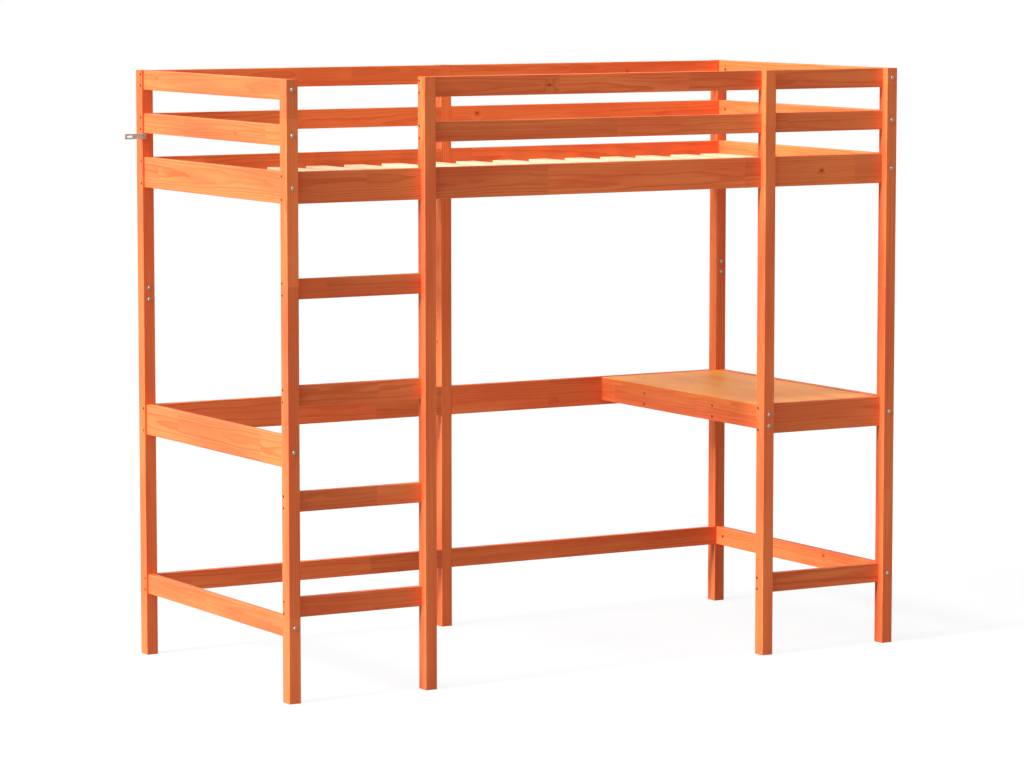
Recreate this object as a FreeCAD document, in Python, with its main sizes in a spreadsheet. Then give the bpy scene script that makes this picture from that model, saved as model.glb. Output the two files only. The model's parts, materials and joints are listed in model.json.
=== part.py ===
"""Loft bed with a desk underneath: seven posts, butt-jointed rails, ladder, desk and slatted deck.

Row frame in millimetres: +X along the bed from the ladder end to the desk end, +Y from the open
front to the back, +Z up. The origin is on the floor, at the middle of the whole bed's outline.
"""

import FreeCAD, Part
import Sketcher
import os

doc = FreeCAD.newDocument("loft_bed_with_desk")

SIZES = (
    ("frame_length", 2072, "outside of the posts, ladder end to desk end"),
    ("frame_width", 982, "outside of the posts, front to back"),
    ("frame_height", 1757, "floor to the tops of the posts"),
    ("post_width", 37, "post section along the bed"),
    ("post_depth", 41, "post section across the bed"),
    ("ladder_bay", 402, "clear width between the two ladder posts"),
    ("desk_bay", 402, "clear width between the two front desk posts"),
    ("end_rail_thick", 23, "thickness of the head and foot end rails and of the desk apron"),
    ("long_rail_thick", 18, "thickness of the front and back rails and of the rungs"),
    ("narrow_rail", 58, "height of the narrow boards"),
    ("wide_rail", 90, "height of the wide boards"),
    ("guard_drop", 128, "post top down to the top of the guard rails"),
    ("bed_rail_drop", 258, "post top down to the top of the bed rails"),
    ("middle_rail_top", 758, "floor to the top of the middle rails"),
    ("bottom_rail_top", 244, "floor to the top of the bottom rails"),
    ("rung_count", 4, "ladder rungs"),
    ("edge_round", 2, "rounding on the long edges of posts and rails"),
    ("desk_top_drop", 2, "top of the middle rails down to the desk top"),
    ("desk_top_thick", 16, "thickness of the desk top"),
    ("desk_support_thick", 18, "thickness of the two boards under the desk top"),
    ("desk_support_inset", 255, "desk edge to the middle of each support board"),
    ("slat_drop", 40.5, "top of the bed rails down to the slats"),
    ("slat_thick", 14, "slat thickness"),
    ("slat_width", 64, "slat width"),
    ("slat_count", 14, "evenly spaced slats"),
    ("slat_inset", 122.5, "end rail to the nearest evenly spaced slat"),
    ("end_slat_gap", 7.6, "end rail to the extra slat at each end"),
    ("slat_play", 2, "gap between a slat's end and the bed rail"),
    ("ledger_width", 20, "slat ledger, across the bed"),
    ("ledger_tall", 30, "slat ledger, height"),
    ("slat_screw_inset", 10, "slat end to its screw"),
    ("pair_narrow", 34, "spacing of a pair of screws in a narrow board"),
    ("pair_wide", 66, "spacing of a pair of screws in a wide board"),
    ("screw_radius", 2.5, "rail screw, shank"),
    ("screw_head_radius", 4.6, "rail screw, head"),
    ("screw_head_thick", 3, "rail screw, head"),
    ("screw_sink", 1, "rail screw's head below the surface"),
    ("screw_bite", 33, "rail screw's length inside the second board"),
    ("screw_tip", 4, "rail screw, length of the point"),
    ("bolt_radius", 3, "connector bolt, shank"),
    ("bolt_head_radius", 6, "connector bolt, head"),
    ("bolt_head_thick", 3, "connector bolt, height of the head"),
    ("bolt_head_rim", 1, "connector bolt, straight rim of the head"),
    ("bolt_past_nut", 6, "connector bolt's length past the nut's middle"),
    ("socket_radius", 2.3, "hexagon socket in the heads, across corners"),
    ("socket_depth", 1.8, "depth of the hexagon socket"),
    ("nut_radius", 5, "cross nut"),
    ("nut_long", 14, "cross nut"),
    ("nut_setback", 36, "board end to the middle of the cross nut"),
    ("dowel_radius", 4, "wooden dowel"),
    ("dowel_bite", 25, "dowel's length inside each rail"),
    ("dowel_taper", 1, "bevel round a dowel's ends"),
    ("small_screw_radius", 1.75, "slat and ledger screws, shank"),
    ("small_head_radius", 3.5, "slat and ledger screws, head"),
    ("small_head_thick", 2, "slat and ledger screws, head"),
    ("small_bite", 14, "slat and ledger screws, length inside the second board"),
    ("fit_play", 0.1, "clearance all round a fastener in its bore"),
    ("bore_end_play", 2, "bore's length past the fastener's end"),
    ("mid_bolt_level", 1091, "floor to the middle of the bolt pair in the back corner posts"),
    ("mid_bolt_stop", 4, "end of those bolts short of the post's far face"),
    ("strap_overhang", 57, "wall strap's length outside the post"),
    ("strap_lap", 12, "wall strap's length on the post"),
    ("strap_tall", 16, "wall strap, height"),
    ("strap_thick", 2, "wall strap, thickness"),
    ("strap_round", 4, "wall strap, corner radius"),
    ("strap_gap", 2, "guard rail down to the wall strap"),
    ("slot_long", 18, "wall strap's slot, end to end"),
    ("slot_half_width", 3, "wall strap's slot, half width"),
    ("slot_inset", 16, "free end of the strap to the middle of the slot"),
    ("strap_screw_inset", 5, "post edge to the strap's screw"),
    ("strap_screw_radius", 2, "strap screw, shank"),
    ("strap_screw_head", 4, "strap screw, head radius"),
    ("strap_screw_head_thick", 2.5, "strap screw, height of the head"),
    ("strap_screw_bite", 28, "strap screw's length inside the post"),
)

sheet = doc.addObject("Spreadsheet::Sheet", "Sizes")
for row, (alias, number, note) in enumerate(SIZES, start=1):
    sheet.set("A%d" % row, alias)
    sheet.set("B%d" % row, str(number))
    sheet.set("C%d" % row, note)
    sheet.setAlias("B%d" % row, alias)
doc.recompute()


class Size:
    """A length that carries both its sheet expression and its number."""

    def __init__(self, text, value):
        self.text = text
        self.value = value

    def _join(self, sign, left, right, value):
        return Size("(%s %s %s)" % (left.text, sign, right.text), value)

    def __add__(self, other):
        other = as_size(other)
        return self._join("+", self, other, self.value + other.value)

    def __sub__(self, other):
        other = as_size(other)
        return self._join("-", self, other, self.value - other.value)

    def __mul__(self, other):
        other = as_size(other)
        return self._join("*", self, other, self.value * other.value)

    def __truediv__(self, other):
        other = as_size(other)
        return self._join("/", self, other, self.value / other.value)


def as_size(number):
    if isinstance(number, Size):
        return number
    return Size(repr(number), float(number))


def cell(alias):
    return Size("Sizes." + alias, float(sheet.get(alias)))


def count(alias):
    return int(round(cell(alias).value))


# ---------------------------------------------------------------- levels and lines of the frame

ZERO = as_size(0)
length = cell("frame_length")
width = cell("frame_width")
height = cell("frame_height")
post_w = cell("post_width")
post_d = cell("post_depth")
end_thick = cell("end_rail_thick")
long_thick = cell("long_rail_thick")
narrow = cell("narrow_rail")
wide = cell("wide_rail")
edge_round = cell("edge_round")

# The outline reaches past the posts at one end by the wall strap, so the origin allows for it.
origin_x = (length - cell("strap_overhang")) / 2
origin_y = width / 2

# Left edges of the posts along X, measured from the ladder end of the frame.
x_ladder = post_w + cell("ladder_bay")
x_desk = length - post_w * 2 - cell("desk_bay")
x_right = length - post_w
x_back_middle = (length - post_w) / 2

# Faces across the bed, measured from the front of the frame.
y_inner_front = post_d
y_inner_back = width - post_d
y_front_rail = post_d - long_thick

# The end rails are centred on the posts.
end_setback = (post_w - end_thick) / 2
x_inner_left = end_setback + end_thick
x_inner_right = length - end_setback - end_thick
clear_length = x_inner_right - x_inner_left
clear_width = y_inner_back - y_inner_front

# Tops of the five rail levels and of the rungs.
guard_top = height - cell("guard_drop")
bed_rail_top = height - cell("bed_rail_drop")
middle_top = cell("middle_rail_top")
bottom_top = cell("bottom_rail_top")
rung_pitch = bed_rail_top / (cell("rung_count") + 1)

LEVELS = {
    "top": (height, narrow, cell("pair_narrow")),
    "guard": (guard_top, narrow, cell("pair_narrow")),
    "bed": (bed_rail_top, wide, cell("pair_wide")),
    "middle": (middle_top, wide, cell("pair_wide")),
    "bottom": (bottom_top, narrow, cell("pair_narrow")),
}
RUNGS = ["rung_%d" % number for number in range(1, count("rung_count") + 1)]
for number, rung in enumerate(RUNGS, start=1):
    LEVELS[rung] = (rung_pitch * number, narrow, cell("pair_narrow"))

fit_play = cell("fit_play")
screw_bore = cell("screw_radius") + fit_play
screw_head_bore = cell("screw_head_radius") + fit_play
screw_head_depth = cell("screw_head_thick") + cell("screw_sink")
screw_end_bore = cell("screw_bite") + cell("bore_end_play")
bolt_bore = cell("bolt_radius") + fit_play
bolt_end_bore = cell("nut_setback") + cell("bolt_past_nut") + cell("bore_end_play")
nut_bore = cell("nut_radius") + fit_play
nut_bore_depth = end_thick / 2 + cell("nut_long") / 2 + fit_play
dowel_bore = cell("dowel_radius") + fit_play
dowel_end_bore = cell("dowel_bite") + cell("bore_end_play")
small_bore = cell("small_screw_radius") + fit_play
small_head_bore = cell("small_head_radius") + fit_play
small_end_bore = cell("small_bite") + cell("bore_end_play")


def middle_of(level):
    top, tall, _ = LEVELS[level]
    return top - tall / 2


def pair_at(level):
    """The two heights of a pair of fasteners in the board at this level."""
    spacing = LEVELS[level][2]
    return (middle_of(level) - spacing / 2, middle_of(level) + spacing / 2)


# ---------------------------------------------------------------- building blocks

subparts = []
cuts = []

# Sketch plane across each direction, and whether a pad must be reversed to grow along plus.
PLANES = {"x": ("YZ_Plane", False), "y": ("XZ_Plane", True), "z": ("XY_Plane", False)}


def new_body(label, subpart=True):
    body = doc.addObject("PartDesign::Body", label)
    body.Label = label
    if subpart:
        subparts.append(body)
    return body


def new_sketch(body, name, direction, start=ZERO):
    """A sketch across the direction; start moves it along plus."""
    role, normal_is_minus = PLANES[direction]
    sketch = body.newObject("Sketcher::SketchObject", name)
    plane = [item for item in body.Origin.OriginFeatures if item.Role == role][0]
    sketch.AttachmentSupport = [(plane, "")]
    sketch.MapMode = "FlatFace"
    if start is not ZERO:
        shift = ZERO - start if normal_is_minus else start
        sketch.setExpression("AttachmentOffset.Base.z", shift.text)
    return sketch


def hold(sketch, kind, geometry, point, size):
    """Ties one coordinate of a point to the sketch's origin, on either side of it."""
    if size.value == 0:
        axis = -2 if kind == "DistanceX" else -1
        sketch.addConstraint(Sketcher.Constraint("PointOnObject", geometry, point, axis))
        return
    if size.value > 0:
        ends = (-1, 1, geometry, point)
    else:
        ends = (geometry, point, -1, 1)
    index = sketch.addConstraint(Sketcher.Constraint(kind, *ends, abs(size.value)))
    text = size.text if size.value > 0 else "-" + size.text
    sketch.setExpression("Constraints[%d]" % index, text)


def outline(sketch, corners):
    """A closed polygon whose corners are all tied to sizes."""
    spots = [FreeCAD.Vector(u.value, v.value, 0) for u, v in corners]
    total = len(spots)
    for index in range(total):
        sketch.addGeometry(Part.LineSegment(spots[index], spots[(index + 1) % total]), False)
    for index in range(total):
        sketch.addConstraint(Sketcher.Constraint("Coincident", index, 2, (index + 1) % total, 1))
    for index, (u, v) in enumerate(corners):
        hold(sketch, "DistanceX", index, 1, u)
        hold(sketch, "DistanceY", index, 1, v)


def circles(sketch, spots, radius):
    for index, (u, v) in enumerate(spots):
        centre = FreeCAD.Vector(u.value, v.value, 0)
        sketch.addGeometry(Part.Circle(centre, FreeCAD.Vector(0, 0, 1), radius.value), False)
        if index == 0:
            number = sketch.addConstraint(Sketcher.Constraint("Radius", 0, radius.value))
            sketch.setExpression("Constraints[%d]" % number, radius.text)
        else:
            sketch.addConstraint(Sketcher.Constraint("Equal", 0, index))
        hold(sketch, "DistanceX", index, 3, u)
        hold(sketch, "DistanceY", index, 3, v)


def place(body, x, y, z):
    """Places a piece by its frame coordinates, which run from the ladder end, front and floor."""
    body.setExpression("Placement.Base.x", (x - origin_x).text)
    body.setExpression("Placement.Base.y", (y - origin_y).text)
    body.setExpression("Placement.Base.z", z.text)


def board(label, direction, size_x, size_y, size_z, rounding=edge_round, subpart=True):
    """A rounded board with its low corner at its own origin and its grain along the direction."""
    body = new_body(label, subpart)
    sizes = {"x": size_x, "y": size_y, "z": size_z}
    across = {"x": (size_y, size_z), "y": (size_x, size_z), "z": (size_x, size_y)}[direction]
    section = new_sketch(body, label + "_section", direction)
    corners = [(ZERO, ZERO), (across[0], ZERO), across, (ZERO, across[1])]
    outline(section, corners)
    pad = body.newObject("PartDesign::Pad", label + "_pad")
    pad.Profile = section
    pad.Reversed = PLANES[direction][1]
    pad.setExpression("Length", sizes[direction].text)
    doc.recompute()
    axis = {"x": FreeCAD.Vector(1, 0, 0), "y": FreeCAD.Vector(0, 1, 0), "z": FreeCAD.Vector(0, 0, 1)}
    long_edges = []
    for number, edge in enumerate(pad.Shape.Edges, start=1):
        run = edge.Vertexes[-1].Point - edge.Vertexes[0].Point
        if run.cross(axis[direction]).Length < run.Length / 2:
            long_edges.append("Edge%d" % number)
    fillet = body.newObject("PartDesign::Fillet", label + "_round")
    fillet.Base = (pad, long_edges)
    fillet.setExpression("Radius", rounding.text)
    body.Tip = fillet
    return body


def bore(body, name, direction, spots, radius, start=ZERO, depth=None, toward_minus=False):
    """Round holes along a direction, right through or to a depth from a starting face."""
    if not spots:
        return
    sketch = new_sketch(body, body.Label + "_" + name + "_spots", direction, start)
    circles(sketch, spots, radius)
    pocket = body.newObject("PartDesign::Pocket", body.Label + "_" + name)
    pocket.Profile = sketch
    normal_is_minus = PLANES[direction][1]
    pocket.Reversed = normal_is_minus if toward_minus else not normal_is_minus
    if depth is None:
        pocket.Type = "ThroughAll"
    else:
        pocket.Type = "Length"
        pocket.setExpression("Length", depth.text)
    body.Tip = pocket
    cuts.append(pocket)


# ---------------------------------------------------------------- posts

END_LEVELS = ("top", "guard", "bed", "middle", "bottom")
front_screw_line = y_front_rail + long_thick / 2
back_screw_line = long_thick / 2
post_middle = post_w / 2
apron_bottom = middle_top - cell("desk_top_drop") - cell("desk_top_thick") - narrow
apron_middle = apron_bottom + narrow / 2
apron_pair = (apron_middle - cell("pair_narrow") / 2, apron_middle + cell("pair_narrow") / 2)
mid_bolt_pair = (
    cell("mid_bolt_level") - cell("pair_narrow") / 2,
    cell("mid_bolt_level") + cell("pair_narrow") / 2,
)
strap_bottom = guard_top - narrow - cell("strap_gap") - cell("strap_tall")
strap_middle = strap_bottom + cell("strap_tall") / 2

rail_screws = []
dowels = []
bolts = []
nuts = []
mid_bolts = []
desk_screws = []
ledger_screws = []
slat_screws = []

TOWARD_LEFT = FreeCAD.Vector(-1, 0, 0)
TOWARD_RIGHT = FreeCAD.Vector(1, 0, 0)
TOWARD_FRONT = FreeCAD.Vector(0, -1, 0)
TOWARD_BACK = FreeCAD.Vector(0, 1, 0)
UPWARD = FreeCAD.Vector(0, 0, 1)


def spots_on(line, levels):
    """Fastener spots on a vertical line, a pair for every level."""
    return [(line, level_height) for level in levels for level_height in pair_at(level)]


def post(label, x, y, screw_line, head_left=(), head_right=(), dowelled=(), bolted=()):
    """A post with its rail fasteners: screw heads left or right, hidden dowels, end-rail bolts."""
    body = board(label, "z", post_w, post_d, height)
    place(body, x, y, ZERO)
    bore(body, "screws", "x", spots_on(screw_line, head_left + head_right), screw_bore)
    bore(body, "left_heads", "x", spots_on(screw_line, head_left), screw_head_bore,
         depth=screw_head_depth)
    bore(body, "right_heads", "x", spots_on(screw_line, head_right), screw_head_bore,
         start=post_w, depth=screw_head_depth, toward_minus=True)
    bore(body, "dowels", "x", spots_on(screw_line, dowelled), dowel_bore)
    bore(body, "bolts", "y", [(post_middle, spot) for spot in bolted], bolt_bore)
    for line, level_height in spots_on(screw_line, head_left):
        rail_screws.append((x, y + line, level_height, TOWARD_LEFT))
    for line, level_height in spots_on(screw_line, head_right):
        rail_screws.append((x + post_w, y + line, level_height, TOWARD_RIGHT))
    for line, level_height in spots_on(screw_line, dowelled):
        dowels.append((x + post_middle, y + line, level_height, TOWARD_RIGHT))
    return body


end_bolt_spots = [middle_of(level) for level in END_LEVELS]

post("post_front_left", ZERO, ZERO, front_screw_line,
     head_left=("bed",) + tuple(RUNGS), bolted=end_bolt_spots)
post("post_ladder_right", x_ladder, ZERO, front_screw_line,
     head_left=("top", "guard"), head_right=tuple(RUNGS), dowelled=("bed",))
post("post_desk_left", x_desk, ZERO, front_screw_line,
     head_left=("middle", "bottom"), dowelled=("top", "guard", "bed"), bolted=apron_pair)
post("post_front_right", x_right, ZERO, front_screw_line,
     head_right=END_LEVELS, bolted=end_bolt_spots)
back_left = post("post_back_left", ZERO, y_inner_back, back_screw_line,
                 head_left=END_LEVELS, bolted=end_bolt_spots)
post("post_back_middle", x_back_middle, y_inner_back, back_screw_line, dowelled=END_LEVELS)
back_right = post("post_back_right", x_right, y_inner_back, back_screw_line,
                  head_right=END_LEVELS, bolted=end_bolt_spots)

mid_bolt_reach = post_d - cell("mid_bolt_stop")
for body, x in ((back_left, ZERO), (back_right, x_right)):
    spots = [(post_middle, spot) for spot in mid_bolt_pair]
    bore(body, "mid_bolts", "y", spots, bolt_bore, depth=mid_bolt_reach + fit_play)
    for spot in mid_bolt_pair:
        mid_bolts.append((x + post_middle, y_inner_back, spot, TOWARD_FRONT))

strap_screw_hole = cell("strap_screw_bite") + cell("bore_end_play")
bore(back_left, "strap_screw", "y", [(cell("strap_screw_inset"), strap_middle)],
     cell("strap_screw_radius") + fit_play, depth=strap_screw_hole)

# ---------------------------------------------------------------- end rails


def end_rail(side, level, label):
    """A rail across an end, bolted through both posts into cross nuts near its ends."""
    top, tall, _ = LEVELS[level]
    body = board(label, "y", end_thick, clear_width, tall)
    left = side == "left"
    x = end_setback if left else x_inner_right
    place(body, x, y_inner_front, top - tall)
    middle = (end_thick / 2, tall / 2)
    bore(body, "front_bolt", "y", [middle], bolt_bore, depth=bolt_end_bore)
    bore(body, "back_bolt", "y", [middle], bolt_bore, start=clear_width, depth=bolt_end_bore,
         toward_minus=True)
    nut_spots = [(cell("nut_setback"), tall / 2), (clear_width - cell("nut_setback"), tall / 2)]
    bore(body, "nuts", "x", nut_spots, nut_bore, start=end_thick if left else ZERO,
         depth=nut_bore_depth, toward_minus=left)
    for spot, _ in nut_spots:
        nuts.append((x + end_thick / 2, y_inner_front + spot, middle_of(level), TOWARD_RIGHT))
    bolts.append((x + end_thick / 2, ZERO, middle_of(level), TOWARD_FRONT))
    bolts.append((x + end_thick / 2, width, middle_of(level), TOWARD_BACK))
    return body


END_NAMES = {"top": "top_rail", "guard": "guard_rail", "bed": "bed_rail",
             "middle": "middle_rail", "bottom": "bottom_rail"}
for level in END_LEVELS:
    end_rail("left", level, "left_" + END_NAMES[level])
right_rails = {level: end_rail("right", level, "right_" + END_NAMES[level])
               for level in END_LEVELS}

# ---------------------------------------------------------------- front and back rails, rungs


def long_rail(label, x_from, x_to, y, level, left_end, right_end):
    """A rail along the bed between two posts; each end takes a pair of screws or of dowels."""
    top, tall, spacing = LEVELS[level]
    run = x_to - x_from
    body = board(label, "x", run, long_thick, tall)
    place(body, x_from, y, top - tall)
    pair = [(long_thick / 2, tall / 2 - spacing / 2), (long_thick / 2, tall / 2 + spacing / 2)]
    drill = {"screw": (screw_bore, screw_end_bore), "dowel": (dowel_bore, dowel_end_bore)}
    radius, depth = drill[left_end]
    bore(body, "left_" + left_end, "x", pair, radius, depth=depth)
    radius, depth = drill[right_end]
    bore(body, "right_" + right_end, "x", pair, radius, start=run, depth=depth,
         toward_minus=True)
    return body


bays = {
    "ladder": (post_w, x_ladder),
    "centre": (x_ladder + post_w, x_desk),
    "desk": (x_desk + post_w, x_right),
    "back_left": (post_w, x_back_middle),
    "back_right": (x_back_middle + post_w, x_right),
}

front_bed_rails = [
    ("ladder", long_rail("front_bed_rail_ladder", *bays["ladder"], y_front_rail, "bed",
                         "screw", "dowel")),
    ("centre", long_rail("front_bed_rail_centre", *bays["centre"], y_front_rail, "bed",
                         "dowel", "dowel")),
    ("desk", long_rail("front_bed_rail_desk", *bays["desk"], y_front_rail, "bed",
                       "dowel", "screw")),
]
for level in ("top", "guard"):
    long_rail("front_%s_rail_centre" % level, *bays["centre"], y_front_rail, level,
              "screw", "dowel")
    long_rail("front_%s_rail_desk" % level, *bays["desk"], y_front_rail, level,
              "dowel", "screw")
for level in ("middle", "bottom"):
    long_rail("front_%s_rail_desk" % level, *bays["desk"], y_front_rail, level,
              "screw", "screw")
for number, rung in enumerate(RUNGS, start=1):
    long_rail("ladder_rung_%d" % number, *bays["ladder"], y_front_rail, rung, "screw", "screw")

back_rails = {}
for level in END_LEVELS:
    for side, ends in (("left", ("screw", "dowel")), ("right", ("dowel", "screw"))):
        label = "back_%s_%s" % (END_NAMES[level], side)
        back_rails[level, side] = long_rail(label, *bays["back_" + side], y_inner_back, level,
                                            *ends)

# ---------------------------------------------------------------- desk

x_apron = x_desk + post_middle - end_thick / 2
x_support = x_apron + end_thick
support_run = x_inner_right - x_support
desk_inset = cell("desk_support_inset")
support_lines = (desk_inset, clear_width - desk_inset)
narrow_pair = (narrow / 2 - cell("pair_narrow") / 2, narrow / 2 + cell("pair_narrow") / 2)

apron = board("desk_apron", "y", end_thick, clear_width, narrow)
place(apron, x_apron, y_inner_front, apron_bottom)
bore(apron, "front_bolts", "y", [(end_thick / 2, spot) for spot in narrow_pair], bolt_bore,
     depth=bolt_end_bore)
bore(apron, "nuts", "x", [(cell("nut_setback"), spot) for spot in narrow_pair], nut_bore,
     start=end_thick, depth=nut_bore_depth, toward_minus=True)
bore(apron, "back_screws", "y", [(end_thick / 2, spot) for spot in narrow_pair], screw_bore,
     start=clear_width, depth=screw_end_bore, toward_minus=True)
apron_support_spots = [(line, spot) for line in support_lines for spot in narrow_pair]
bore(apron, "support_screws", "x", apron_support_spots, screw_bore)
bore(apron, "support_heads", "x", apron_support_spots, screw_head_bore, depth=screw_head_depth)
for spot in apron_pair:
    bolts.append((x_apron + end_thick / 2, ZERO, spot, TOWARD_FRONT))
    nuts.append((x_apron + end_thick / 2, y_inner_front + cell("nut_setback"), spot,
                 TOWARD_RIGHT))

middle_bottom = middle_top - wide
apron_in_rail = apron_bottom - middle_bottom
right_middle = right_rails["middle"]
rail_support_spots = [(line, apron_in_rail + spot) for line in support_lines
                      for spot in narrow_pair]
bore(right_middle, "support_screws", "x", rail_support_spots, screw_bore)
bore(right_middle, "support_heads", "x", rail_support_spots, screw_head_bore, start=end_thick,
     depth=screw_head_depth, toward_minus=True)

back_middle = back_rails["middle", "right"]
apron_x_in_rail = x_apron + end_thick / 2 - bays["back_right"][0]
apron_spots = [(apron_x_in_rail, apron_in_rail + spot) for spot in narrow_pair]
bore(back_middle, "apron_screws", "y", apron_spots, screw_bore)
bore(back_middle, "apron_heads", "y", apron_spots, screw_head_bore, start=long_thick,
     depth=screw_head_depth, toward_minus=True)

for line in support_lines:
    for spot in apron_pair:
        desk_screws.append((x_apron, y_inner_front + line, spot, TOWARD_LEFT, "desk"))
        desk_screws.append((x_inner_right + end_thick, y_inner_front + line, spot,
                            TOWARD_RIGHT, "desk"))
for spot in apron_pair:
    desk_screws.append((x_apron + end_thick / 2, y_inner_back + long_thick, spot,
                        TOWARD_BACK, "apron"))

for label, line in (("desk_support_front", support_lines[0]),
                    ("desk_support_back", support_lines[1])):
    support = board(label, "x", support_run, cell("desk_support_thick"), narrow)
    place(support, x_support, y_inner_front + line - cell("desk_support_thick") / 2,
          apron_bottom)
    ends = [(cell("desk_support_thick") / 2, spot) for spot in narrow_pair]
    bore(support, "left_screws", "x", ends, screw_bore, depth=screw_end_bore)
    bore(support, "right_screws", "x", ends, screw_bore, start=support_run,
         depth=screw_end_bore, toward_minus=True)

desk_top = board("desk_top", "y", x_inner_right - x_apron, clear_width, cell("desk_top_thick"))
place(desk_top, x_apron, y_inner_front, apron_bottom + narrow)

# ---------------------------------------------------------------- slatted deck

slat_top = bed_rail_top - cell("slat_drop")
slat_bottom = slat_top - cell("slat_thick")
ledger_bottom = slat_bottom - cell("ledger_tall")
slat_run = clear_width - cell("slat_play") * 2
first_slat = x_inner_left + cell("slat_inset")
last_slat = x_inner_right - cell("slat_inset") - cell("slat_width")
slat_pitch = (last_slat - first_slat) / (count("slat_count") - 1)
slat_lines = [x_inner_left + cell("end_slat_gap")]
slat_lines += [first_slat + slat_pitch * number for number in range(count("slat_count"))]
slat_lines += [x_inner_right - cell("end_slat_gap") - cell("slat_width")]
slat_screw_lines = (cell("slat_play") + cell("slat_screw_inset"),
                    clear_width - cell("slat_play") - cell("slat_screw_inset"))

ledger_level = cell("ledger_tall") / 2
ledger_level_in_rail = ledger_bottom + ledger_level - (bed_rail_top - wide)


# The ledger screws divide a short bay in two and a long one in four.
SHORT_BAY_PARTS = 2
LONG_BAY_PARTS = 4


def even_spots(bay, parts):
    """Spots that divide a bay into equal parts, measured from the ladder end of the frame."""
    start, end = bays[bay]
    return [start + (end - start) * number / parts for number in range(1, parts)]


ledger_spots = {
    "ladder": even_spots("ladder", SHORT_BAY_PARTS),
    "centre": even_spots("centre", LONG_BAY_PARTS),
    "desk": even_spots("desk", SHORT_BAY_PARTS),
    "back_left": even_spots("back_left", LONG_BAY_PARTS),
    "back_right": even_spots("back_right", LONG_BAY_PARTS),
}

for bay, body in front_bed_rails:
    spots = [(x - bays[bay][0], ledger_level_in_rail) for x in ledger_spots[bay]]
    bore(body, "ledger_screws", "y", spots, small_bore, start=long_thick, depth=small_end_bore,
         toward_minus=True)
for side in ("left", "right"):
    bay = "back_" + side
    spots = [(x - bays[bay][0], ledger_level_in_rail) for x in ledger_spots[bay]]
    bore(back_rails["bed", side], "ledger_screws", "y", spots, small_bore,
         depth=small_end_bore)

for label, y, bay_names, facing_back in (
        ("slat_ledger_front", y_inner_front, ("ladder", "centre", "desk"), True),
        ("slat_ledger_back", y_inner_back - cell("ledger_width"),
         ("back_left", "back_right"), False)):
    ledger = board(label, "x", clear_length, cell("ledger_width"), cell("ledger_tall"))
    place(ledger, x_inner_left, y, ledger_bottom)
    along = [x for bay in bay_names for x in ledger_spots[bay]]
    spots = [(x - x_inner_left, ledger_level) for x in along]
    bore(ledger, "screws", "y", spots, small_bore)
    bore(ledger, "heads", "y", spots, small_head_bore,
         start=cell("ledger_width") if facing_back else ZERO,
         depth=cell("small_head_thick") + fit_play, toward_minus=facing_back)
    slat_line = slat_screw_lines[0] if facing_back else slat_screw_lines[1]
    drop = slat_line if facing_back else slat_line - clear_width + cell("ledger_width")
    spots = [(x + cell("slat_width") / 2 - x_inner_left, drop) for x in slat_lines]
    bore(ledger, "slat_screws", "z", spots, small_bore, start=cell("ledger_tall"),
         depth=small_end_bore, toward_minus=True)
    face = y + cell("ledger_width") if facing_back else y
    toward = TOWARD_BACK if facing_back else TOWARD_FRONT
    for x in along:
        ledger_screws.append((x, face, ledger_bottom + ledger_level, toward))
    for x in slat_lines:
        slat_screws.append((x + cell("slat_width") / 2, y_inner_front + slat_line, slat_top,
                            UPWARD))

# ---------------------------------------------------------------- wall strap

strap = new_body("wall_strap")
strap_run = cell("strap_overhang") + cell("strap_lap")
strap_face = new_sketch(strap, "wall_strap_face", "y")
outline(strap_face, [(ZERO, ZERO), (strap_run, ZERO), (strap_run, cell("strap_tall")),
                     (ZERO, cell("strap_tall"))])
strap_pad = strap.newObject("PartDesign::Pad", "wall_strap_pad")
strap_pad.Profile = strap_face
strap_pad.Reversed = True
strap_pad.setExpression("Length", "Sizes.strap_thick")
doc.recompute()
corner_edges = []
for number, edge in enumerate(strap_pad.Shape.Edges, start=1):
    run = edge.Vertexes[-1].Point - edge.Vertexes[0].Point
    if abs(run.y) > abs(run.x) + abs(run.z):
        corner_edges.append("Edge%d" % number)
strap_corners = strap.newObject("PartDesign::Fillet", "wall_strap_corners")
strap_corners.Base = (strap_pad, corner_edges)
strap_corners.setExpression("Radius", "Sizes.strap_round")
strap.Tip = strap_corners
slot_reach = cell("slot_long") / 2 - cell("slot_half_width")
slot_ends = [cell("slot_inset") - slot_reach, cell("slot_inset") + slot_reach]
for number, spot in enumerate(slot_ends, start=1):
    bore(strap, "slot_end_%d" % number, "y", [(spot, cell("strap_tall") / 2)],
         cell("slot_half_width"))
slot_sketch = new_sketch(strap, "wall_strap_slot_shape", "y")
slot_low = cell("strap_tall") / 2 - cell("slot_half_width")
slot_high = cell("strap_tall") / 2 + cell("slot_half_width")
outline(slot_sketch, [(slot_ends[0], slot_low), (slot_ends[1], slot_low),
                      (slot_ends[1], slot_high), (slot_ends[0], slot_high)])
slot = strap.newObject("PartDesign::Pocket", "wall_strap_slot")
slot.Profile = slot_sketch
slot.Type = "ThroughAll"
slot.Reversed = False
strap.Tip = slot
cuts.append(slot)
strap_hole = (cell("strap_overhang") + cell("strap_screw_inset"), cell("strap_tall") / 2)
bore(strap, "hole", "y", [strap_hole], cell("strap_screw_radius") + fit_play)
place(strap, ZERO - cell("strap_overhang"), y_inner_back - cell("strap_thick"), strap_bottom)

# ---------------------------------------------------------------- fasteners


# Height of a hexagon's upper corners above its middle, as a share of its reach across corners.
HEXAGON_RISE = 0.75 ** 0.5


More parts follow.
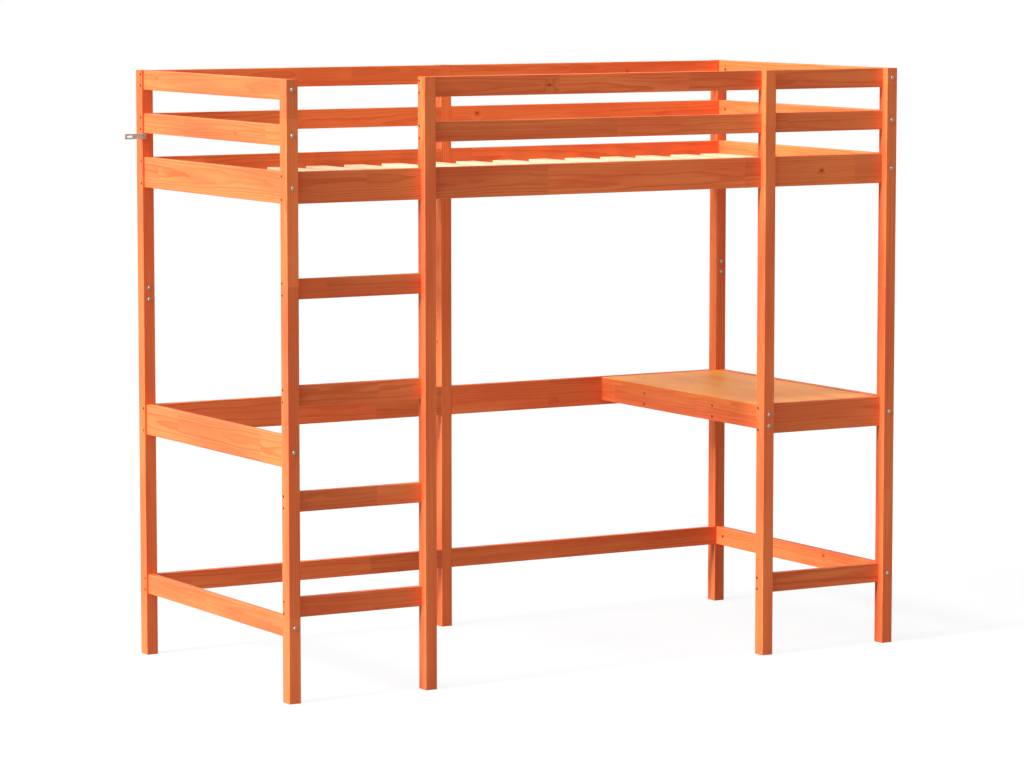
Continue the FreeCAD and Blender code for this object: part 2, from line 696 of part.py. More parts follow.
def turned(label, profile, socket_top=None):
    """A piece turned about Z from its half profile, with a hexagon socket if it has one."""
    body = new_body(label, subpart=False)
    sketch = new_sketch(body, label + "_profile", "y")
    outline(sketch, profile)
    spin = body.newObject("PartDesign::Revolution", label + "_turned")
    spin.Profile = sketch
    spin.ReferenceAxis = (sketch, ["V_Axis"])
    spin.Angle = 360
    body.Tip = spin
    if socket_top is not None:
        hexagon = new_sketch(body, label + "_socket_shape", "z", socket_top)
        reach = cell("socket_radius")
        half = reach / 2
        rise = reach * HEXAGON_RISE
        corners = [(reach, ZERO), (half, rise), (ZERO - half, rise), (ZERO - reach, ZERO),
                   (ZERO - half, ZERO - rise), (half, ZERO - rise)]
        outline(hexagon, corners)
        pocket = body.newObject("PartDesign::Pocket", label + "_socket")
        pocket.Profile = hexagon
        pocket.Type = "Length"
        pocket.setExpression("Length", "Sizes.socket_depth")
        pocket.Reversed = False
        body.Tip = pocket
        cuts.append(pocket)
    return body


def screw_profile(radius, head_radius, head_top, head_bottom, tip, point):
    """Half profile of a screw whose seat face is at zero: head above, shank and point below."""
    return [(ZERO, head_top), (head_radius, head_top), (head_radius, head_bottom),
            (radius, head_bottom), (radius, tip + point), (ZERO, tip)]


def bolt_profile(reach):
    """Half profile of a connector bolt: low crowned head above zero, shank below."""
    head = cell("bolt_head_radius")
    rim = cell("bolt_head_rim")
    crown = cell("bolt_head_thick")
    shoulder = head - crown + rim
    radius = cell("bolt_radius")
    return [(ZERO, crown), (shoulder, crown), (head, rim), (head, ZERO), (radius, ZERO),
            (radius, ZERO - reach + rim), (radius - rim, ZERO - reach), (ZERO, ZERO - reach)]


sink = ZERO - cell("screw_sink")
under_head = ZERO - screw_head_depth
point = cell("screw_tip")
rail_reach = ZERO - post_w - cell("screw_bite")
desk_reach = ZERO - end_thick - cell("screw_bite")
apron_reach = ZERO - long_thick - cell("screw_bite")
rail_screw = turned("rail_screw_form", screw_profile(
    cell("screw_radius"), cell("screw_head_radius"), sink, under_head, rail_reach, point), sink)
desk_screw = turned("desk_screw_form", screw_profile(
    cell("screw_radius"), cell("screw_head_radius"), sink, under_head, desk_reach, point), sink)
apron_screw = turned("apron_screw_form", screw_profile(
    cell("screw_radius"), cell("screw_head_radius"), sink, under_head, apron_reach, point), sink)
bolt_reach = post_d + cell("nut_setback") + cell("bolt_past_nut")
bolt = turned("bolt_form", bolt_profile(bolt_reach), cell("bolt_head_thick"))
mid_bolt = turned("mid_bolt_form", bolt_profile(mid_bolt_reach), cell("bolt_head_thick"))
small_radius = cell("small_screw_radius")
small_under = ZERO - cell("small_head_thick")
ledger_reach = ZERO - cell("ledger_width") - cell("small_bite")
slat_reach = ZERO - cell("slat_thick") - cell("small_bite")
ledger_screw = turned("ledger_screw_form", screw_profile(
    small_radius, cell("small_head_radius"), ZERO, small_under, ledger_reach, small_radius))
slat_screw = turned("slat_screw_form", screw_profile(
    small_radius, cell("small_head_radius"), ZERO, small_under, slat_reach, small_radius))

dowel_half = post_w / 2 + cell("dowel_bite")
dowel_radius = cell("dowel_radius")
dowel_taper = cell("dowel_taper")
dowel = turned("dowel_form", [
    (ZERO, dowel_half), (dowel_radius - dowel_taper, dowel_half),
    (dowel_radius, dowel_half - dowel_taper), (dowel_radius, dowel_taper - dowel_half),
    (dowel_radius - dowel_taper, ZERO - dowel_half), (ZERO, ZERO - dowel_half)])

nut_half = cell("nut_long") / 2
nut = turned("nut_form", [(ZERO, nut_half), (cell("nut_radius"), nut_half),
                          (cell("nut_radius"), ZERO - nut_half), (ZERO, ZERO - nut_half)])
bore(nut, "thread", "y", [(ZERO, ZERO)], bolt_bore, start=ZERO - cell("nut_radius"))

slat = board("slat_form", "y", cell("slat_width"), slat_run, cell("slat_thick"), subpart=False)
slat_spots = [(cell("slat_width") / 2, line - cell("slat_play")) for line in slat_screw_lines]
bore(slat, "screws", "z", slat_spots, small_bore)
bore(slat, "heads", "z", slat_spots, small_head_bore, start=cell("slat_thick"),
     depth=cell("small_head_thick"), toward_minus=True)

strap_screw_form = turned("strap_screw_form", screw_profile(
    cell("strap_screw_radius"), cell("strap_screw_head"),
    cell("strap_screw_head_thick"), ZERO,
    ZERO - cell("strap_thick") - cell("strap_screw_bite"), cell("strap_screw_radius")))

doc.recompute()


def group(label, members):
    """One sub-part made of like pieces, each a separate solid in its place."""
    shapes = []
    for form, x, y, z, toward in members:
        shape = form.Shape.copy()
        spot = FreeCAD.Vector(x.value - origin_x.value, y.value - origin_y.value, z.value)
        shape.Placement = FreeCAD.Placement(spot, FreeCAD.Rotation(UPWARD, toward))
        shapes.append(shape)
    feature = doc.addObject("Part::Feature", label)
    feature.Label = label
    feature.Shape = Part.makeCompound(shapes)
    feature.Placement = FreeCAD.Placement()
    subparts.append(feature)


group("rail_screws", [(rail_screw, *spot) for spot in rail_screws])
group("frame_bolts", [(bolt, *spot) for spot in bolts])
group("cross_nuts", [(nut, *spot) for spot in nuts])
group("post_bolts", [(mid_bolt, *spot) for spot in mid_bolts])
group("rail_dowels", [(dowel, *spot) for spot in dowels])
desk_forms = {"desk": desk_screw, "apron": apron_screw}
group("desk_screws", [(desk_forms[spot[4]], *spot[:4]) for spot in desk_screws])
group("ledger_screws", [(ledger_screw, *spot) for spot in ledger_screws])
group("slat_screws", [(slat_screw, *spot) for spot in slat_screws])
group("bed_slats", [(slat, x, y_inner_front + cell("slat_play"), slat_bottom, UPWARD)
                    for x in slat_lines])
group("wall_strap_screw", [(strap_screw_form, cell("strap_screw_inset"),
                            y_inner_back - cell("strap_thick"), strap_middle, TOWARD_FRONT)])
doc.recompute()

# ---------------------------------------------------------------- checks and export

for item in doc.Objects:
    if "Invalid" in item.State or "Error" in item.State:
        raise RuntimeError("failed object: " + item.Label + " " + str(item.State))
for cut in cuts:
    if cut.Shape.Volume >= cut.BaseFeature.Shape.Volume:
        raise RuntimeError("this cut removed nothing: " + cut.Label)
for item in subparts:
    if item.Shape.isNull() or not item.Shape.isValid():
        raise RuntimeError("bad shape: " + item.Label)

os.makedirs("parts", exist_ok=True)
for item in subparts:
    item.Shape.exportStep("parts/" + item.Label + ".step")
print(len(subparts), "sub-parts written")
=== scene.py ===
"""Looks for the loft bed with desk: stained pine boards, pale slats, zinc and bronzed fittings."""

import json
import math
import random

import bpy
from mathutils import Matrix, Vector


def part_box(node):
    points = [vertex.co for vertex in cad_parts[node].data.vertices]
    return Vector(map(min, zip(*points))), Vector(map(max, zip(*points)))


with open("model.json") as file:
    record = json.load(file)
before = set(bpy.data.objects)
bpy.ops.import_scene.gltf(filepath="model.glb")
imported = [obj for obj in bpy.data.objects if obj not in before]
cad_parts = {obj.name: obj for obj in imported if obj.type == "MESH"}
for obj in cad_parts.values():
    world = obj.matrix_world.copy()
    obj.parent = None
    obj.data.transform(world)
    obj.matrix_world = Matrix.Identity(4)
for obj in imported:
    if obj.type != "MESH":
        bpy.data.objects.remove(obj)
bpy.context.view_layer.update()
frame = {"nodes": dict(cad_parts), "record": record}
nodes = frame["nodes"]
random.seed(41)

MM = 0.001


# ---------------------------------------------------------------- shader maths as expressions

# How far apart white noise is read for one whole number and the next.
CHANCE_STEP = 1.37


class Wire:
    """A value that comes out of a node; arithmetic on it adds Math nodes."""

    def __init__(self, graph, socket):
        self.graph = graph
        self.socket = socket

    def also(self, name):
        """Another output of the same node."""
        return Wire(self.graph, self.socket.node.outputs[name])

    def _math(self, operation, *items, clamp=False):
        return self.graph.node("ShaderNodeMath", {"operation": operation, "use_clamp": clamp},
                               dict(enumerate(items)))

    def __add__(self, other):
        return self._math("ADD", self, other)

    def __radd__(self, other):
        return self._math("ADD", other, self)

    def __sub__(self, other):
        return self._math("SUBTRACT", self, other)

    def __rsub__(self, other):
        return self._math("SUBTRACT", other, self)

    def __mul__(self, other):
        return self._math("MULTIPLY", self, other)

    def __rmul__(self, other):
        return self._math("MULTIPLY", other, self)

    def __truediv__(self, other):
        return self._math("DIVIDE", self, other)

    def __pow__(self, other):
        return self._math("POWER", self, other)

    def __abs__(self):
        return self._math("ABSOLUTE", self)

    def clamped(self):
        return self._math("ADD", self, 0.0, clamp=True)

    def fraction(self):
        return self._math("FRACT", self)

    def floored(self):
        return self._math("FLOOR", self)

    def most(self, other):
        return self._math("MAXIMUM", self, other)

    def rising(self, low, high):
        """Zero below low and one above high, with a soft step between."""
        return self.graph.node("ShaderNodeMapRange",
                               {"interpolation_type": "SMOOTHSTEP", "clamp": True},
                               {0: self, 1: low, 2: high, 3: 0.0, 4: 1.0})


class Graph:
    """One node tree, with the calls that the finishes below are written in."""

    def __init__(self, owner):
        self.owner = owner
        owner.use_nodes = True
        self.tree = owner.node_tree
        self.tree.nodes.clear()

    def node(self, kind, settings=None, inputs=None, output=0):
        """Adds a node: its settings first, then its sockets' values or links."""
        made = self.tree.nodes.new(kind)
        for key, setting in (settings or {}).items():
            if key == "stops":
                self._set_stops(made.color_ramp, setting)
            else:
                setattr(made, key, setting)
        for key, item in (inputs or {}).items():
            self._feed(made.inputs[key], item)
        return Wire(self, made.outputs[output]) if made.outputs else None

    def _feed(self, socket, item):
        if isinstance(item, Wire):
            self.tree.links.new(item.socket, socket)
        elif socket.type == "RGBA":
            socket.default_value = (*item, 1.0)
        else:
            socket.default_value = item

    def _set_stops(self, ramp, stops):
        while len(ramp.elements) < len(stops):
            ramp.elements.new(0.5)
        for element, (place, colour) in zip(ramp.elements, stops):
            element.position = place
            element.color = (*colour, 1.0)

    def _three(self, vector):
        x = self.node("ShaderNodeSeparateXYZ", {}, {0: vector})
        return [x, x.also("Y"), x.also("Z")]

    def place(self):
        """Where the shaded point is on the object, in metres, as three numbers."""
        return self._three(self.node("ShaderNodeTexCoord", output="Object"))

    def facing(self):
        """Which way the surface faces on the object, as three numbers."""
        return self._three(self.node("ShaderNodeTexCoord", output="Normal"))

    def vector(self, x, y, z):
        return self.node("ShaderNodeCombineXYZ", {}, {0: x, 1: y, 2: z})

    def noise(self, x, y, z, detail=2.0, roughness=0.5):
        return self.node("ShaderNodeTexNoise", {"noise_dimensions": "3D"}, {
            "Vector": self.vector(x, y, z), "Scale": 1.0, "Detail": detail,
            "Roughness": roughness})

    def chance(self, number, seed):
        """A steady random number between 0 and 1 for each whole number."""
        return self.node("ShaderNodeTexWhiteNoise", {"noise_dimensions": "1D"},
                         {"W": number * CHANCE_STEP + seed})

    def mix(self, amount, first, second, blend="MIX"):
        """Mixes two colours."""
        return self.node("ShaderNodeMix",
                         {"data_type": "RGBA", "blend_type": blend, "clamp_factor": True},
                         {0: amount, 6: first, 7: second}, output=2)

    def ramp(self, amount, stops):
        return self.node("ShaderNodeValToRGB", {"stops": stops}, {0: amount})

    def finish(self, colour, roughness, height, depth, metallic=0.0, gloss=0.5):
        """The surface: height, from 0 to 1, is raised or sunk by up to depth in metres."""
        bump = self.node("ShaderNodeBump", {},
                         {"Strength": 1.0, "Distance": depth, "Height": height})
        shader = self.node("ShaderNodeBsdfPrincipled", {}, {
            "Base Color": colour, "Roughness": roughness, "Metallic": metallic,
            "Specular IOR Level": gloss, "Normal": bump})
        self.node("ShaderNodeOutputMaterial", {}, {"Surface": shader})
        return self.owner


def srgb(*levels):
    """A colour written as three levels, from 11 to 255, as the shader's sockets take it."""
    return tuple(((level / 255 + 0.055) / 1.055) ** 2.4 for level in levels)


def grey(level):
    """A grey or white, at a level from 0 to 1 as the shader's sockets take it."""
    return (level, level, level)


# ---------------------------------------------------------------- wood

# Spring wood, the darker summer wood, a redder heart, arrises where the finish is thin, and knots
# where the wood has any. The desk top's long edges are darker: their colour is multiplied by side.
FRAME_TONES = {"spring": srgb(252, 134, 76), "summer": srgb(222, 92, 44),
               "heart": srgb(240, 108, 64), "arris": srgb(252, 160, 102),
               "knot": srgb(128, 52, 26)}
DESK_TONES = {"spring": srgb(255, 174, 86), "summer": srgb(250, 146, 62),
              "heart": srgb(255, 160, 76), "arris": srgb(255, 190, 130),
              "knot": srgb(140, 66, 34), "side": (0.97, 0.60, 0.66)}
SLAT_TONES = {"spring": srgb(246, 212, 176), "summer": srgb(228, 184, 142),
              "heart": srgb(240, 202, 166), "arris": srgb(250, 226, 196),
              "knot": srgb(158, 104, 66)}
DOWEL_TONES = {"spring": srgb(222, 186, 140), "summer": srgb(196, 152, 106),
               "heart": srgb(212, 172, 128), "arris": srgb(228, 196, 152)}

# Growth rings. The pith lies PITH_NEAR to PITH_FAR above or below the board's middle, up to
# PITH_ASIDE of its half width to one side, and leans by up to PITH_LEAN for each metre along it.
# The dark summer wood comes late in each ring, and the palest ring has PALEST_RING of it.
RING_PITCH = 5.5 * MM
RING_WANDER = 22 * MM
RING_WAVER = 9 * MM
PITH_NEAR = 28 * MM
PITH_FAR = 60 * MM
PITH_ASIDE = 0.5
PITH_LEAN = 0.012
SUMMER_COMES = (0.35, 0.9)
SUMMER_GOES = (0.93, 1.0)
PALEST_RING = 0.3

# Finger joints: the width of one finger, whose point reaches half of FINGER_REACH along the board.
FINGER_PITCH = 7 * MM
FINGER_REACH = 9 * MM

# Knots, drawn out along the grain. They keep within shares of the board's half length and half
# width. The core fades from KNOT_HEART of the knot's size to its size, the dark ring round it ends
# at DARK_RING sizes, and the growth rings are pushed aside as far out as SWELL_ENDS sizes.
KNOT_LEAST = 2.8 * MM
KNOT_MOST = 6.0 * MM
KNOT_SWELL = 5 * MM
KNOT_SQUEEZE = 0.8
KNOTS_ALONG = 0.85
KNOTS_ACROSS = 0.6
KNOT_HEART = 0.55
DARK_RING = 2.6
SWELL_ENDS = 5

# Noise drawn out along the grain: how many waves in a metre along it, and across it.
SLOW_DRIFT = (1.6, 7.0)
WAVER = (5.0, 30.0)
FIBRE = (14.0, 620.0)
STREAK = (2.4, 95.0)
BLUSH = (2.0, 16.0)

# Scuffs on the arrises: how many waves in a metre, the same every way.
SCUFFS = 60.0

# Where in its noise the heart's blush or a scuff begins, and where it is full.
BLUSHED = (0.35, 0.7)
SCUFFED = (0.3, 0.65)

# How strongly each feature shows in the colour.
HEART_SHOWS = 0.8
SUMMER_SHOWS = 0.66
STREAK_SHOWS = 1.3
BASE_SHADE = 0.9
FIBRE_SHADE = 0.2
TREE_SHADE = 0.15
KNOT_RING_SHOWS = 0.45
KNOT_CORE_SHOWS = 0.7
END_GRAIN_SHOWS = 0.5
ARRIS_SHOWS = 0.5

# How squarely a surface faces along one axis, and how far it turns away from all three.
SQUARE_ON = (0.6, 0.95)
TURNED = (0.02, 0.16)

WOOD_ROUGHNESS = 0.46
SUMMER_ROUGHER = 0.08
FIBRE_ROUGHER = 0.16
ARRIS_ROUGHER = 0.1
END_GRAIN_ROUGHER = 0.15
WOOD_RELIEF = 0.25 * MM
FIBRE_PROUD = 0.5
WOOD_GLOSS = 0.12

# The range of a board's seed, what keeps its joints' tones apart from its rings' strengths, and
# what keeps the joints' tones of one tree apart from those of another.
SEEDS = (3, 90)
JOINT_SEED = 11
TREE_STEP = 7.0


class Board:
    """The wood of one board or post, or of like boards side by side along X.

    It knows how far the shaded point is along, across and into the wood, in metres. For boards
    side by side, row gives where their cells start along X and the cells' pitch. stave_width is
    that of edge-glued strips.
    """

    def __init__(self, name, tones, row=None, stave_width=None):
        self.graph = Graph(bpy.data.materials.new(name + "_pine"))
        self.tones = tones
        low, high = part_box(name)
        middle = (low + high) / 2
        half = (high - low) / 2
        thin, wide, grain = sorted(range(3), key=lambda axis: half[axis])
        if row:
            grain, wide = wide, grain
        self.grain = grain
        self.wide = wide
        self.half_long = half[grain]
        self.half_wide = half[wide]
        self.place = self.graph.place()
        self.along, self.across, self.deep = (self.place[axis] - middle[axis]
                                              for axis in (grain, wide, thin))
        self.seed = random.uniform(*SEEDS)
        self.tree = self._tree(row, stave_width)
        self.tone = self.tree

    def _tree(self, row, stave_width):
        """Each board of a row, or each stave of a glued board, comes from its own tree."""
        if row:
            start, pitch = row
            number = ((self.place[0] - start) / pitch).floored()
            self.across = self.place[0] - start - (number + 0.5) * pitch
            self.half_wide = pitch / 2
            return self.graph.chance(number, self.seed)
        if stave_width:
            number = ((self.across + self.half_wide) / stave_width).floored()
            return self.graph.chance(number, self.seed)
        return 0.5

    def drawn_out(self, waves, start=0.0, detail=2.0, roughness=0.5):
        """Noise with so many waves in a metre along the grain, and across it."""
        lengthwise, crosswise = waves
        return self.graph.noise(self.along * lengthwise + start, self.across * crosswise,
                                self.deep * crosswise, detail, roughness)

    def finger_joints(self, joint_pitch):
        """A zigzag across the board where one length meets the next, which has its own tone."""
        zigzag = abs((self.across / FINGER_PITCH).fraction() - 0.5) * FINGER_REACH
        first = random.uniform(0, joint_pitch)
        number = ((self.along + zigzag + first) / joint_pitch).floored()
        self.tone = self.graph.chance(number + self.tree * TREE_STEP, self.seed + JOINT_SEED)

    def ring_radius(self):
        """How far the point is from a pith that lies outside the board and wanders along it."""
        pith_across = random.uniform(-PITH_ASIDE, PITH_ASIDE) * self.half_wide
        pith_deep = random.choice((-1, 1)) * random.uniform(PITH_NEAR, PITH_FAR)
        lean = random.uniform(-PITH_LEAN, PITH_LEAN)
        slow = self.drawn_out(SLOW_DRIFT, self.seed)
        waver = self.drawn_out(WAVER, self.seed)
        drift = ((self.tone - 0.5) + (slow - 0.5)) * RING_WANDER
        ring_x = self.across - pith_across + drift
        ring_y = self.deep - pith_deep + (self.tone - 0.5) * (RING_WANDER / 2)
        radius = (ring_x * ring_x + ring_y * ring_y) ** 0.5
        return radius + (waver - 0.5) * RING_WAVER + self.along * lean

    def knot(self):
        """A knot's core, the dark ring round it, and how far it pushes the growth rings aside."""
        knot_along = random.uniform(-KNOTS_ALONG, KNOTS_ALONG) * self.half_long
        knot_across = random.uniform(-KNOTS_ACROSS, KNOTS_ACROSS) * self.half_wide
        size = random.uniform(KNOT_LEAST, KNOT_MOST)
        dx = (self.along - knot_along) * KNOT_SQUEEZE
        dy = self.across - knot_across
        reach = (dx * dx + dy * dy) ** 0.5
        core = 1.0 - reach.rising(size * KNOT_HEART, size)
        ring = 1.0 - reach.rising(size, size * DARK_RING)
        swell = (1.0 - reach.rising(size, size * SWELL_ENDS)) * KNOT_SWELL
        return core, ring, swell

    def summer_wood(self, radius):
        """How much dark summer wood there is at this distance from the pith."""
        turns = radius / RING_PITCH
        phase = turns.fraction()
        summer = phase.rising(*SUMMER_COMES) * (1.0 - phase.rising(*SUMMER_GOES))
        strength = self.graph.chance(turns.floored(), self.seed)
        return summer * (strength * (1.0 - PALEST_RING) + PALEST_RING)

    def flat_colour(self, summer, fibre, knots):
        """The colour of the flat faces, before the ends, long edges and arrises change it."""
        graph, tones = self.graph, self.tones
        streak = self.drawn_out(STREAK, self.seed, detail=3.0)
        blush = self.drawn_out(BLUSH, self.seed)
        colour = graph.mix(blush.rising(*BLUSHED) * HEART_SHOWS, tones["spring"], tones["heart"])
        colour = graph.mix(summer * SUMMER_SHOWS, colour, tones["summer"])
        colour = graph.mix((streak - 0.5) * STREAK_SHOWS, colour, tones["summer"])
        shade = BASE_SHADE + fibre * FIBRE_SHADE + (self.tone - 0.5) * TREE_SHADE
        colour = graph.mix(1.0, colour, graph.vector(shade, shade, shade), "MULTIPLY")
        for core, ring, _ in knots:
            colour = graph.mix(ring * KNOT_RING_SHOWS, colour, tones["summer"])
            colour = graph.mix(core * KNOT_CORE_SHOWS, colour, tones["knot"])
        return colour


def pine(name, tones, joint_pitch=None, stave_width=None, knot_count=0, row=None):
    """Wood grained along a board's longest side, or across a row of boards.

    joint_pitch is the run between finger joints.
    """
    board = Board(name, tones, row, stave_width)
    graph = board.graph
    if joint_pitch:
        board.finger_joints(joint_pitch)
    radius = board.ring_radius()
    knots = [board.knot() for _ in range(knot_count)]
    for _, _, swell in knots:
        radius = radius + swell
    summer = board.summer_wood(radius)
    fibre = board.drawn_out(FIBRE, detail=3.0, roughness=0.6)
    colour = board.flat_colour(summer, fibre, knots)

    # Sawn ends drink more stain, and the finish is rubbed thin where a surface turns a corner.
    facing = [abs(part) for part in graph.facing()]
    if "side" in tones:
        darker = graph.mix(1.0, colour, tones["side"], "MULTIPLY")
        colour = graph.mix(facing[board.wide].rising(*SQUARE_ON), colour, darker)
    end_grain = facing[board.grain].rising(*SQUARE_ON)
    corner = (1.0 - facing[0].most(facing[1]).most(facing[2])).rising(*TURNED)
    scuff = graph.noise(*(part * SCUFFS for part in board.place), detail=3.0)
    arris = corner * scuff.rising(*SCUFFED)
    colour = graph.mix(end_grain * END_GRAIN_SHOWS, colour, tones["summer"])
    colour = graph.mix(arris * ARRIS_SHOWS, colour, tones["arris"])

    roughness = WOOD_ROUGHNESS + summer * SUMMER_ROUGHER + (fibre - 0.5) * FIBRE_ROUGHER
    roughness = roughness + arris * ARRIS_ROUGHER + end_grain * END_GRAIN_ROUGHER
    height = fibre * FIBRE_PROUD + summer * (1.0 - FIBRE_PROUD)
    return graph.finish(colour, roughness, height, WOOD_RELIEF, gloss=WOOD_GLOSS)


# ---------------------------------------------------------------- metal

PLATING_RELIEF = 0.05 * MM

# Clouds, pits, patches and spangles are so many to a metre, and scratches so many along X, Y and Z.
# A name that ends in ROUGHNESS is where a plating starts, and one in ROUGHER what a feature adds.
# Painted shade on a bolt's head grows from HEAD_CROWN to HEAD_SEAT below the top of its crown,
# towards the wood.
ZINC_CLOUDS = 240.0
ZINC_PITS = 1800.0
ZINC_ROUGHNESS = 0.34
ZINC_CLOUD_ROUGHER = 0.16
ZINC_PIT_ROUGHER = 0.1
# The colour of the painted shade round bolt heads where they meet the wood.
PAINTED_SEAT_SHADE = srgb(74, 62, 54)
PAINTED_SEAT_SHADE_SHOWS = 0.8
HEAD_CROWN = 1.0 * MM
HEAD_SEAT = 2.6 * MM

BRONZE_PATCHES = 300.0
BRONZE_ROUGHNESS = 0.36
BRONZE_PATCH_ROUGHER = 0.2

SPANGLES = 420.0
SCRATCHES = (60.0, 900.0, 2400.0)
SPANGLE_SHARE = 0.6
STRAP_ROUGHNESS = 0.46
SPANGLE_ROUGHER = 0.14


def zinc(name):
    """Dull zinc plating. Painted shade grows inwards from a node's ends along Y, where bolts have
    crowns.
    """
    graph = Graph(bpy.data.materials.new(name + "_zinc"))
    low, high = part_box(name)
    place = graph.place()
    cloud = graph.noise(*(part * ZINC_CLOUDS for part in place), detail=4.0)
    fine = graph.noise(*(part * ZINC_PITS for part in place))
    sunk = (high - low).y / 2 - abs(place[1] - (high + low).y / 2)
    colour = graph.ramp(cloud, [(0.3, srgb(146, 134, 118)), (0.7, srgb(184, 174, 160))])
    # Painted shade, deepening from the crown down to where the head meets the wood.
    colour = graph.mix(sunk.rising(HEAD_CROWN, HEAD_SEAT) * PAINTED_SEAT_SHADE_SHOWS, colour, PAINTED_SEAT_SHADE)
    roughness = ZINC_ROUGHNESS + cloud * ZINC_CLOUD_ROUGHER + (fine - 0.5) * ZINC_PIT_ROUGHER
    return graph.finish(colour, roughness, fine, PLATING_RELIEF, metallic=1.0)


def bronzed(name):
    """Dark bronzed plating, rubbed brighter in patches."""
    graph = Graph(bpy.data.materials.new(name + "_bronzed"))
    patch = graph.noise(*(part * BRONZE_PATCHES for part in graph.place()), detail=4.0)
    colour = graph.ramp(patch, [(0.35, srgb(112, 76, 48)), (0.75, srgb(172, 130, 90))])
    roughness = BRONZE_ROUGHNESS + patch * BRONZE_PATCH_ROUGHER
    return graph.finish(colour, roughness, patch, PLATING_RELIEF, metallic=0.9)


def galvanised(name):
    """Dull spangled zinc with scratches along the strap."""
    graph = Graph(bpy.data.materials.new(name + "_galvanised"))
    place = graph.place()
    spangle = graph.node("ShaderNodeTexVoronoi", {"voronoi_dimensions": "3D"},
                         {"Vector": graph.vector(*place), "Scale": SPANGLES}, output="Color")
    patch = graph.node("ShaderNodeSeparateColor", {}, {0: spangle})
    scratch = graph.noise(*(part * waves for part, waves in zip(place, SCRATCHES)), detail=3.0)
    tone = patch * SPANGLE_SHARE + scratch * (1.0 - SPANGLE_SHARE)
    colour = graph.ramp(tone, [(0.2, srgb(152, 164, 154)), (0.8, srgb(204, 212, 202))])
    roughness = STRAP_ROUGHNESS + patch * SPANGLE_ROUGHER
    return graph.finish(colour, roughness, scratch, PLATING_RELIEF, metallic=0.2)


# ---------------------------------------------------------------- dress the nodes

BAR_JOINT_PITCHES = (0.42, 0.70)
BAR_KNOT_COUNTS = (0, 0, 0, 1)
DESK_JOINT_PITCH = 0.31
DESK_STAVE = 0.055
SLAT_JOINT_PITCH = 0.55
LEAST_SLAT_GAP = 40 * MM


def starts_along_x(name, least_gap):
    """Where each separate board of a node begins along X."""
    places = sorted(vertex.co.x for vertex in nodes[name].data.vertices)
    return places[:1] + [right for left, right in zip(places, places[1:])
                         if right - left > least_gap]


def frame_board(name):
    return pine(name, FRAME_TONES, joint_pitch=random.uniform(*BAR_JOINT_PITCHES),
                knot_count=random.choice(BAR_KNOT_COUNTS))


def desk_board(name):
    return pine(name, DESK_TONES, joint_pitch=DESK_JOINT_PITCH, stave_width=DESK_STAVE,
                knot_count=2)


def slat_board(name):
    """The slats, whose grain runs across the bed, or one of the ledgers that carry them."""
    starts = starts_along_x(name, LEAST_SLAT_GAP)
    if len(starts) == 1:
        return pine(name, SLAT_TONES, joint_pitch=SLAT_JOINT_PITCH, knot_count=1)
    # The second and third slats give the even pitch; each cell starts in the gap before its slat.
    pitch = starts[2] - starts[1]
    return pine(name, SLAT_TONES, joint_pitch=SLAT_JOINT_PITCH, knot_count=2,
                row=(starts[1] - LEAST_SLAT_GAP / 2, pitch))


def dowel_stock(name):
    return pine(name, DOWEL_TONES)


FINISHES = {"frame_pine": frame_board, "desk_board": desk_board, "slat_pine": slat_board,
            "dowel_wood": dowel_stock, "zinc_fixing": zinc, "bronzed_screw": bronzed,
            "galvanised_strap": galvanised}

for part in sorted(frame["record"]["subparts"], key=lambda part: part["node"]):
    materials = nodes[part["node"]].data.materials
    materials.clear()
    materials.append(FINISHES[part["material_slot"]](part["node"]))

# ---------------------------------------------------------------- floor, light and camera

# FLOOR_GLOW is the share of the floor's look that is plain white, and the rest of it takes shadows.
# AIR_STRENGTH is the even light from all round, which is seen as white.
WHITE = grey(1.0)
FLOOR_SIZE = 60.0
FLOOR_GLOW = 0.88
FLOOR_SEEN = grey(0.9)
FLOOR_DULL = grey(0.34)
FLOOR_BRIGHT = grey(0.36)
FLOOR_MOTTLE = 3.0
AIR_STRENGTH = 0.07


def seen_ray(graph):
    """One where eye, mirror or glass looks straight at a surface, zero for its bounced light."""
    camera_ray = graph.node("ShaderNodeLightPath", output="Is Camera Ray")
    mirrored = camera_ray.also("Is Glossy Ray") + camera_ray.also("Is Transmission Ray")
    return (camera_ray + mirrored).clamped()


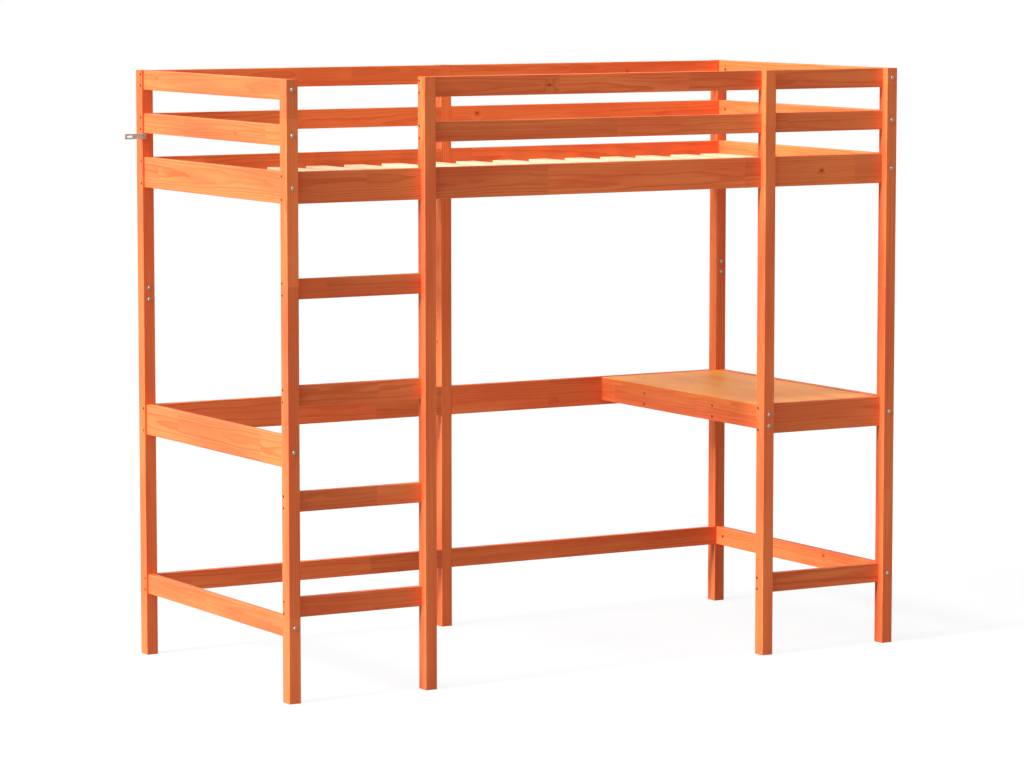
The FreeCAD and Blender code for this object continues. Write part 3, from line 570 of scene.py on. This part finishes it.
bpy.ops.mesh.primitive_plane_add(size=FLOOR_SIZE, location=(0, 0, 0))
floor = bpy.context.object
floor.name = "studio_floor"
paint = Graph(bpy.data.materials.new("studio_floor_white"))
seen = seen_ray(paint)
floor_x, floor_y, _ = paint.place()
mottle = paint.noise(floor_x * FLOOR_MOTTLE, floor_y * FLOOR_MOTTLE, 0.0, detail=3.0)
bounce = paint.ramp(mottle, [(0.2, FLOOR_DULL), (0.8, FLOOR_BRIGHT)])
matt = paint.node("ShaderNodeBsdfDiffuse", {}, {"Color": paint.mix(seen, bounce, FLOOR_SEEN)})
glow = paint.node("ShaderNodeEmission", {}, {"Color": WHITE, "Strength": 1.0})
surface = paint.node("ShaderNodeMixShader", {}, {0: seen * FLOOR_GLOW, 1: matt, 2: glow})
paint.node("ShaderNodeOutputMaterial", {}, {"Surface": surface})
floor.data.materials.append(paint.owner)

world = bpy.data.worlds.new("studio_air")
bpy.context.scene.world = world
air = Graph(world)
strength = seen_ray(air) * (1.0 - AIR_STRENGTH) + AIR_STRENGTH
backdrop = air.node("ShaderNodeBackground", {}, {"Color": WHITE, "Strength": strength})
air.node("ShaderNodeOutputWorld", {}, {"Surface": backdrop})


def sun(name, toward, level, spread):
    """An even light that shines from one side.

    level is what a face square to it gets, and spread is how wide its disc looks, in degrees.
    """
    light = bpy.data.lights.new(name, "SUN")
    light.energy = level * math.pi
    light.angle = math.radians(spread)
    made = bpy.data.objects.new(name, light)
    bpy.context.scene.collection.objects.link(made)
    made.rotation_euler = Vector(toward).to_track_quat("Z", "Y").to_euler()


sun("key_from_left", toward=(-0.90, -0.046, 0.43), level=1.30, spread=11)
sun("fill_from_front", toward=(-0.25, -0.88, 0.40), level=0.12, spread=70)
sun("key_from_above", toward=(-0.37, -0.02, 0.93), level=0.92, spread=40)

# The camera stands far in front of the bed, to its left and a little above it. Its angles are in
# degrees, and its lens and film in millimetres.
CAMERA_PLACE = (-6.223, -10.707, 2.144)
CAMERA_YAW = 30.176
CAMERA_PITCH = -6.157
FOCAL_LENGTH = 144.99
FILM_WIDTH = 36.0
CAMERA_REACH = 200.0

camera = bpy.data.objects.new("camera", bpy.data.cameras.new("camera"))
bpy.context.scene.collection.objects.link(camera)
camera.data.sensor_width = FILM_WIDTH
camera.data.lens = FOCAL_LENGTH
camera.data.clip_end = CAMERA_REACH
camera.location = CAMERA_PLACE
camera.rotation_euler = (math.radians(90.0 + CAMERA_PITCH), 0.0, -math.radians(CAMERA_YAW))
bpy.context.scene.camera = camera
bpy.context.scene.view_settings.view_transform = "Standard"
